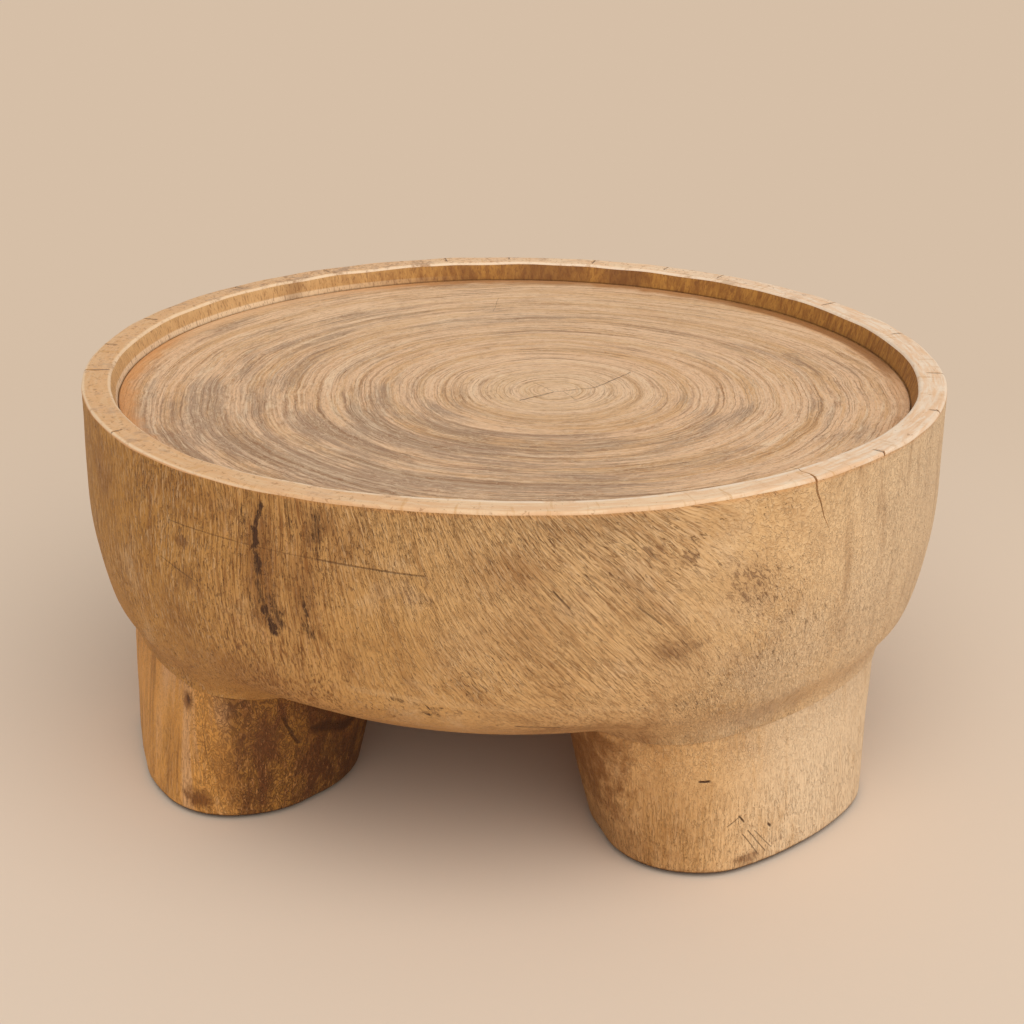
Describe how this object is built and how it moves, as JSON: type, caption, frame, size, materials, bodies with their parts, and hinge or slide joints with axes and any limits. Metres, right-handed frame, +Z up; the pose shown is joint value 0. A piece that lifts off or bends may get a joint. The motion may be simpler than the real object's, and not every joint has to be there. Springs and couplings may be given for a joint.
{
  "type": "african drum table",
  "caption": "Low round wooden table: a hollowed bowl-shaped drum with a raised rim round a sunk tray, on thick rounded legs.",
  "frame": {"origin": "on the floor, under the middle of the round rim", "axes": "+Z up; +X to the right and +Y away from a viewer who faces the gap between the right front leg and the left leg"},
  "size_m": [0.8999, 0.9, 0.4],
  "materials": {
    "drum_wood": "smoothed by hand, dry and lightly waxed, with fine tool marks and a paler worn rim",
    "tray_wood": "end grain with growth rings, dry, weathered grey-brown towards the edge",
    "leg_wood": "smoothed by hand, dry, stained darker in places",
    "wedge_wood": "plain split hardwood, unfinished",
    "felt": "dense dark wool felt"
  },
  "bodies": {
    "root": {"drum_body": "drum_wood", "tray_top": "tray_wood", "leg_right_front": "leg_wood", "wedge_right_front_1": "wedge_wood", "wedge_right_front_2": "wedge_wood", "pad_right_front": "felt", "leg_left": "leg_wood", "wedge_left_1": "wedge_wood", "wedge_left_2": "wedge_wood", "pad_left": "felt", "leg_rear": "leg_wood", "wedge_rear_1": "wedge_wood", "wedge_rear_2": "wedge_wood", "pad_rear": "felt"}
  },
  "joints": []
}
